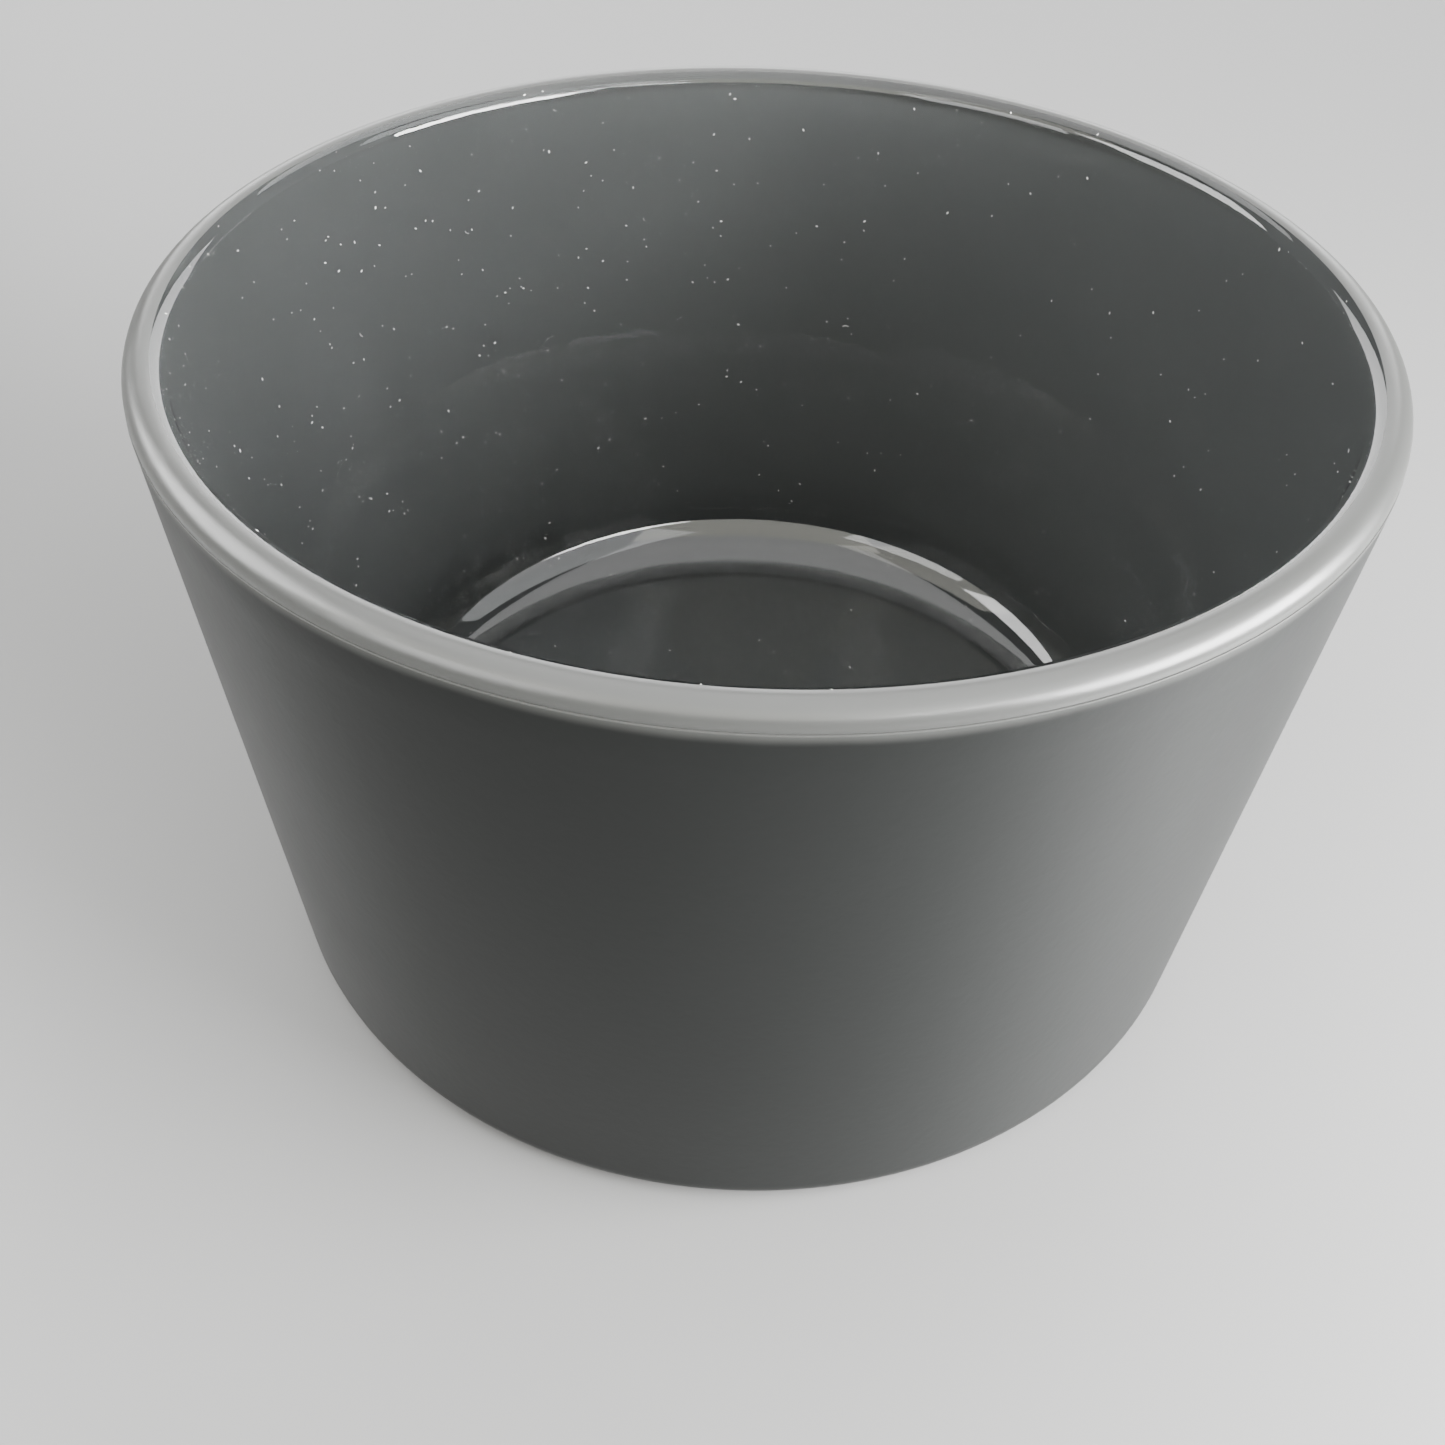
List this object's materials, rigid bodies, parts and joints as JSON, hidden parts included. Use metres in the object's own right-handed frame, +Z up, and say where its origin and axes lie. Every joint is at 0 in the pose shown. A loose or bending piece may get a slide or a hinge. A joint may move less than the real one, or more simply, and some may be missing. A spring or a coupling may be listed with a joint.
{
  "type": "empty candle jar",
  "caption": "Wide, slightly tapered glass candle bowl with a rounded clear rim, a thick base and a matte charcoal coating sprayed on its outside.",
  "frame": {"origin": "centre of the circle that the jar rests on, at the bottom centre of the bounding box", "axes": "+Z up along the jar's axis of symmetry, out of its mouth; X and Y are any two directions across it"},
  "size_m": [0.12, 0.12, 0.0724],
  "materials": {
    "clear_glass": "clear, glossy, fire-polished rim",
    "charcoal_coat": "smooth matte sprayed lacquer, neutral charcoal"
  },
  "bodies": {
    "root": {"glass_vessel": "clear_glass", "wall_coating": "charcoal_coat", "underside_coating": "charcoal_coat"}
  },
  "joints": []
}
